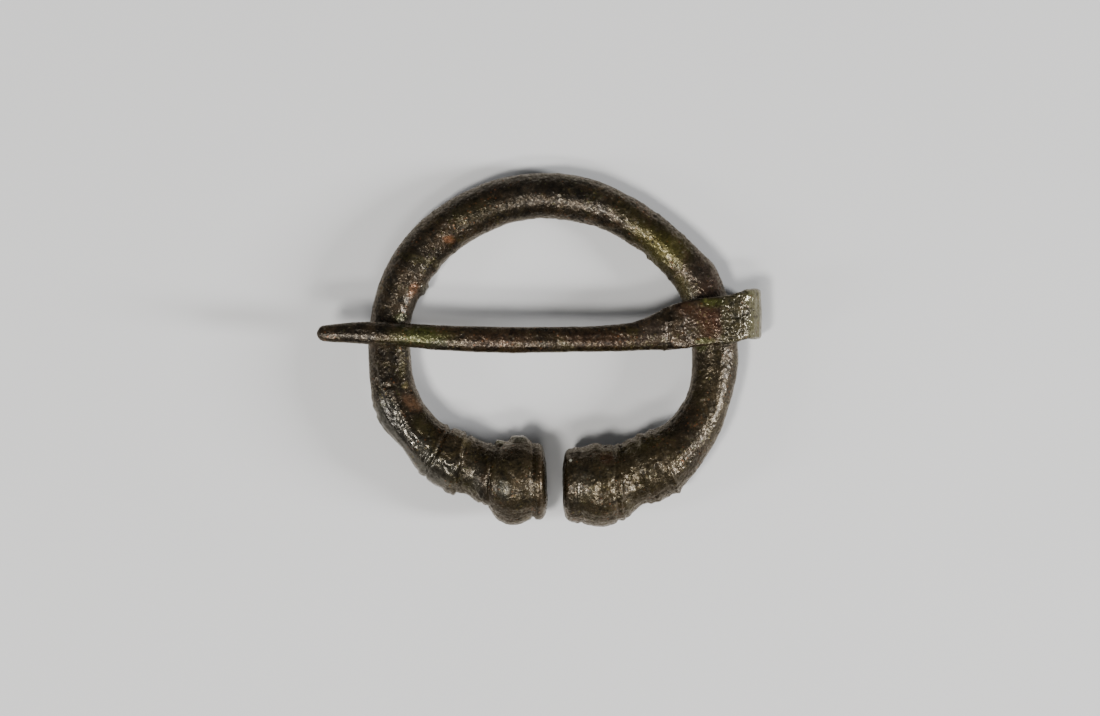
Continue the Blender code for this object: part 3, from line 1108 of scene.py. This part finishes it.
        scab = self.scab_cover(points, angle, side)
        round_rod, round_ring = self.fold_turns
        folds = np.sin(np.radians(side * round_rod + angle * round_ring) + self.fold_bend.relief(points))
        relief = relief * (1.0 - self.scab_calm * scab) + scab * (self.scab_height + self.fold_height * folds)
        ribs = self.ribs.share(angle)
        ribs *= smooth_step(np.abs(side - self.rib_side), *self.rib_spread)
        relief += self.rib_height * ribs * np.sin(np.radians(side * self.rib_turns))
        cast.carve(relief * lift)
        cast.keep_above(0.0)
        # The finish paints these pits nearly black: partly dark corrosion, partly painted shade in the
        # hollows.
        cast.paint("pits", pits * (1.0 - 0.6 * scab) * lift)
        cast.paint("crust", np.clip(crust + 0.75 * scab, 0.0, 1.0))
        # The finish paints raised places paler: partly wear, partly painted highlight.
        cast.paint("ridge", np.clip(relief * 6.0, 0.0, 1.0) * (1.0 - scab))
        return cast

    def build(self) -> bpy.types.Object:
        """Builds and dresses the hoop.

        Returns:
            The finished piece.
        """
        patina = Patina("hoop_patina", self.stains_and_painted_light, 0.5, 0.25, Tone.SKIN)
        return self.carve().finish("hoop", patina.build(), "hoop_bronze")


@dataclass
class Pin:
    """The tapering pin whose strap-like head is bent round the hoop.

    Attributes:
        pivot: Middle of the rod under the head, in millimetres.
        cell: Size of the faces of its skin in millimetres.
        smoothing: Number of smoothing passes over the skin.
        clearance: Lowest height of a point over the ground, in millimetres.
        foot: Height over which the relief fades in from the ground, in millimetres.
        rod: Radius of the hoop under the head, in millimetres.
        lining: Distances from the rod at which the loop's inner side ends and is full.
        lining_reach: Places along X from the pivot at which the inner side starts and is full.
        calm: Share of the relief that the inner side goes without.
        crust_start: Columns of pixels at which the loop's crust starts and is full.
        outer_start: Columns at which the loop's smoother outer side starts and is full.
        head_start: Columns at which the shank turns into the head.
        fray: How far the edges of the crust stray, in millimetres.
        waves: Broad unevenness.
        ripples: Fine unevenness.
        pits: Pits of corrosion.
        gap_size: Size of the pattern of gaps between the crust's nodules, in millimetres.
        gap_width: Value of that pattern at which a gap ends.
        nodule_size: Distance between the crust's nodules, in millimetres.
        furrow_height: Height of the fine furrows along the shank, in millimetres.
        furrow_turn: How close they are, in radians a millimetre.
        furrow_bend: How far they stray, in radians.
        worn_plate: Crusted plate before the loop.
        swells: Places where the real head is fuller or thinner.
        creases: Bend lines and ridges across the strap.
        stains_and_painted_light: Patches of other colours, in the order in which they lie, mostly stains and
            one painted sheen.
    """

    pivot: tuple[float, float, float] = (17.829, 2.790, 3.130)
    cell: float = 0.10
    smoothing: int = 2
    clearance: float = 0.02
    foot: float = 0.5
    rod: float = 2.32
    lining: Spot = (0.75, 0.25)
    lining_reach: Spot = (-4.0, -3.0)
    calm: float = 0.85
    crust_start: Spot = (717.0, 721.0)
    outer_start: Spot = (744.0, 750.0)
    head_start: Spot = (655.0, 690.0)
    fray: Waves = Waves(0.45, 1.2, 3, 27)
    waves: Waves = Waves(0.035, 2.4, 2, 21)
    ripples: Waves = Waves(0.020, 0.7, 3, 22)
    pits: Specks = Specks(0.055, 0.55, 23, 0.40, 0.10, 1.8, 24, 0.0, 0.4)
    gap_size: float = 0.50
    gap_width: float = 0.16
    nodule_size: float = 0.60
    furrow_height: float = 0.010
    furrow_turn: float = 9.0
    furrow_bend: Waves = Waves(2.0, 3.0, 2, 26)
    worn_plate: Lump = Lump((691, 329), 6.6, (1.5, 1.7, 2.4), 0.05, 0.7, 28)
    swells: tuple[Swell, ...] = (
        Swell((748, 294), 3.0, (1.6, 1.2, 4.4), 0.34),
        Swell((757, 342), 3.0, (1.5, 1.3, 4.4), 0.34),
        Swell((763, 320), 3.0, (1.2, 3.4, 4.4), 0.14),
        Swell((665, 313), 6.8, (1.8, 1.0, 2.4), -0.16),
    )
    creases: tuple[RingLine, ...] = (
        RingLine((663.8, 316), (664.5, 342), 0.15, 0.17, 3.4),
        RingLine((667.5, 310), (668.5, 346), -0.12, 0.22, 3.4),
        RingLine((683.5, 322), (687, 344), -0.16, 0.16, 1.8),
        RingLine((720.5, 300), (718.5, 343), 0.10, 0.25, 2.6),
    )
    stains_and_painted_light: tuple[ColourPatch, ...] = (
        ColourPatch((350, 331), (36, 14), Tone.BLACK, 0.65),
        ColourPatch((424, 336), (30, 12), Tone.GREEN, 0.80, -2),
        ColourPatch((398, 336), (12, 9), Tone.OLIVE, 0.60),
        ColourPatch((440, 344), (14, 7), Tone.SKIN, 0.45),
        ColourPatch((708, 322), (16, 20), Tone.RUST, 0.85),
        ColourPatch((690, 312), (22, 10), Tone.RUST, 0.50, -20),
        ColourPatch((712, 303), (14, 5), Tone.GREEN, 0.90),
        ColourPatch((704, 300.5), (2.5, 2.5), Tone.BRIGHT, 1.00),
        ColourPatch((703, 341), (12, 4), Tone.GREEN, 0.80),
        ColourPatch((750, 293), (14, 4), Tone.OLIVE, 0.85, 10),
        ColourPatch((760, 297), (3, 5), Tone.BRIGHT, 0.80),
        ColourPatch((754, 341), (9, 4), Tone.MOSS, 0.95),
        ColourPatch((757, 318), (3, 14), Tone.SKIN, 0.45),
        # Painted sheen: a lighter brown-grey patch that stands in for the broad soft highlight where the
        # shank meets the head.
        ColourPatch((652, 332), (18, 16), Tone.UMBER, 0.75),
        ColourPatch((688, 330), (14, 16), Tone.UMBER, 0.40),
        ColourPatch((500, 340), (40, 10), Tone.RUST, 0.30),
        ColourPatch((600, 340), (50, 10), Tone.RUST, 0.35),
    )

    def inner_side(self, points: np.ndarray) -> np.ndarray:
        """Gives how far each point belongs to the loop's inner side, from 0 to 1.

        Args:
            points: Places in millimetres.

        Returns:
            One number for each point.
        """
        offset = points - np.array(self.pivot)
        from_axis = np.hypot(offset[:, 0], offset[:, 2])
        end, full = self.lining
        start, whole = self.lining_reach
        inside = smooth_step(from_axis, self.rod + end, self.rod + full)
        inside *= smooth_step(points[:, 0], self.pivot[0] + start, self.pivot[0] + whole)
        return inside

    def carve(self) -> Casting:
        """Makes the fine casting.

        Returns:
            The casting with its relief and its painted layers.
        """
        cast = Casting("pin", "looped_pin", self.cell, self.smoothing)
        cast.carve(sum(swell.relief(cast.points) for swell in self.swells))
        inside = self.inner_side(cast.points)
        upper = smooth_step(cast.normals[:, 2], -0.1, 0.4)
        for crease in self.creases:
            cast.carve(crease.relief(cast.points) * upper * (1.0 - inside))

        points = cast.points
        uneven = points[:, 0] + self.fray.relief(points)
        loop = smooth_step(uneven, *map(PHOTO.across, self.crust_start))
        outer = smooth_step(uneven, *map(PHOTO.across, self.outer_start))
        head = smooth_step(points[:, 0], *map(PHOTO.across, self.head_start))
        nodules = loop * (1.0 - 0.75 * outer)
        relief = self.waves.relief(points)
        relief += self.ripples.relief(points) * (1.0 + 0.5 * head)
        pits = self.pits.cover(points)
        relief -= self.pits.height * pits
        gaps = 1.0 - smooth_step(np.abs(clouds(points, self.gap_size, 2, 25)), 0.0, self.gap_width)
        facets = cells(points, self.nodule_size, 29) - 0.5
        relief += nodules * (0.06 - 0.14 * gaps + 0.11 * facets)
        relief += self.worn_plate.relief(points) * (1.0 - 1.8 * gaps + 0.8 * facets)
        furrows = np.sin(points[:, 1] * self.furrow_turn + self.furrow_bend.relief(points))
        relief += self.furrow_height * (1.0 - head) * furrows
        cast.carve(relief * (1.0 - self.calm * inside) * smooth_step(points[:, 2], 0.0, self.foot))
        cast.keep_above(self.clearance)
        # The finish paints pits and the gaps between nodules nearly black: partly dark corrosion, partly
        # painted shade in the crevices.
        cast.paint("pits", np.clip(pits * 0.8 + nodules * smooth_step(gaps, 0.3, 0.9), 0.0, 1.0))
        cast.paint("crust", np.clip(outer * 0.9 + nodules * 0.45, 0.0, 1.0))
        # The finish paints raised places paler: partly wear, partly painted highlight.
        cast.paint("ridge", np.clip(relief * 7.0, 0.0, 1.0))
        return cast

    def build(self) -> bpy.types.Object:
        """Builds and dresses the pin.

        Returns:
            The finished piece.
        """
        patina = Patina("pin_patina", self.stains_and_painted_light, 0.75, 0.24, Tone.LICHEN)
        return self.carve().finish("pin", patina.build(), "pin_bronze")


@dataclass(frozen=True)
class Softbox:
    """A soft light that faces the brooch.

    Attributes:
        name: Name of the light.
        place: Its place in metres.
        size: Its width and height in metres.
        power: Its power in watts.
        tint: Its colour.
    """

    name: str
    place: tuple[float, float, float]
    size: Spot
    power: float
    tint: Colour

    def build(self) -> None:
        """Adds the light to the scene."""
        lamp = bpy.data.lights.new(self.name, "AREA")
        lamp.shape = "RECTANGLE"
        lamp.size, lamp.size_y = self.size
        lamp.energy = self.power
        lamp.color = self.tint
        holder = bpy.data.objects.new(self.name, lamp)
        place = Vector(self.place)
        holder.location = place
        holder.rotation_euler = (-place).to_track_quat("-Z", "Y").to_euler()
        bpy.context.scene.collection.objects.link(holder)


@dataclass
class Studio:
    """Pale floor, soft lights and the camera over the brooch.

    Attributes:
        distance: Height of the camera over the brooch's middle, in metres.
        focus_level: Height at which the photo's scale holds, in metres.
        sensor: Width of the camera's sensor in millimetres.
        near: Nearest distance that the camera sees, in metres.
        far: Farthest distance that it sees, in metres.
        floor_size: Width of the floor in metres.
        floor_cells: Number of faces along the floor.
        floor_tones: Darker and lighter colour of the floor.
        floor_patches: Size of the patches of those colours, in millimetres.
        floor_roughness: Roughness of the floor.
        sky: Colour of the light from all round.
        sky_strength: Strength of that light.
        boxes: Soft lights.
    """

    distance: float = 0.60
    focus_level: float = 0.002
    sensor: float = 36.0
    near: float = 0.01
    far: float = 20.0
    floor_size: float = 3.0
    floor_cells: int = 8
    floor_tones: tuple[Colour, Colour] = ((0.60, 0.597, 0.59), (0.63, 0.627, 0.62))
    floor_patches: float = 30.0
    floor_roughness: float = 0.9
    sky: Colour = (0.80, 0.82, 0.85)
    sky_strength: float = 0.22
    boxes: tuple[Softbox, ...] = (
        Softbox("top_box", (-0.15, -0.15, 0.50), (0.08, 0.10), 2.5, (1.0, 0.985, 0.96)),
        Softbox("right_box", (0.50, -0.07, 0.24), (0.08, 0.18), 4.3, (0.97, 0.98, 1.0)),
        Softbox("left_box", (-0.50, -0.14, 0.27), (0.07, 0.16), 1.0, (0.97, 0.98, 1.0)),
        Softbox("front_box", (0.0, -0.28, 0.46), (0.20, 0.06), 1.0, (1.0, 0.99, 0.97)),
    )

    def floor(self) -> None:
        """Builds the plain pale floor."""
        graph = Graph("floor_paint")
        tone = graph.mix(*self.floor_tones, graph.clouds(self.floor_patches, 2.0))
        graph.feed(graph.shader.inputs["Base Color"], tone)
        graph.feed(graph.shader.inputs["Roughness"], self.floor_roughness)
        mesh = bpy.data.meshes.new("floor")
        shape = bmesh.new()
        bmesh.ops.create_grid(
            shape, x_segments=self.floor_cells, y_segments=self.floor_cells, size=self.floor_size / 2
        )
        shape.to_mesh(mesh)
        shape.free()
        mesh.materials.append(graph.material)
        floor = bpy.data.objects.new("floor", mesh)
        bpy.context.scene.collection.objects.link(floor)

    def camera(self) -> None:
        """Adds the camera, which looks straight down as the photo does."""
        middle = PHOTO.place(PHOTO.view_middle) * MM
        width = PHOTO.view_width * PHOTO.pixel * MM
        lens = bpy.data.cameras.new("camera")
        lens.sensor_width = self.sensor
        lens.lens = self.sensor * self.distance / width
        lens.clip_start = self.near
        lens.clip_end = self.far
        camera = bpy.data.objects.new("camera", lens)
        camera.location = (middle[0], middle[1], self.focus_level + self.distance)
        bpy.context.scene.collection.objects.link(camera)
        bpy.context.scene.camera = camera

    def build(self) -> None:
        """Builds the floor, the lights, the world and the camera."""
        self.floor()
        for box in self.boxes:
            box.build()
        world = bpy.data.worlds.new("studio")
        world.use_nodes = True
        background = world.node_tree.nodes["Background"]
        background.inputs["Color"].default_value = (*self.sky, 1.0)
        background.inputs["Strength"].default_value = self.sky_strength
        bpy.context.scene.world = world
        self.camera()


def main() -> None:
    """Builds the studio and the two pieces, and reports each."""
    logging.basicConfig(level=logging.INFO, format="%(name)s %(message)s")
    Studio().build()
    for maker in (Hoop(), Pin()):
        piece = maker.build()
        LOG.info("built %s", piece.name)


if __name__ == "__main__":
    main()
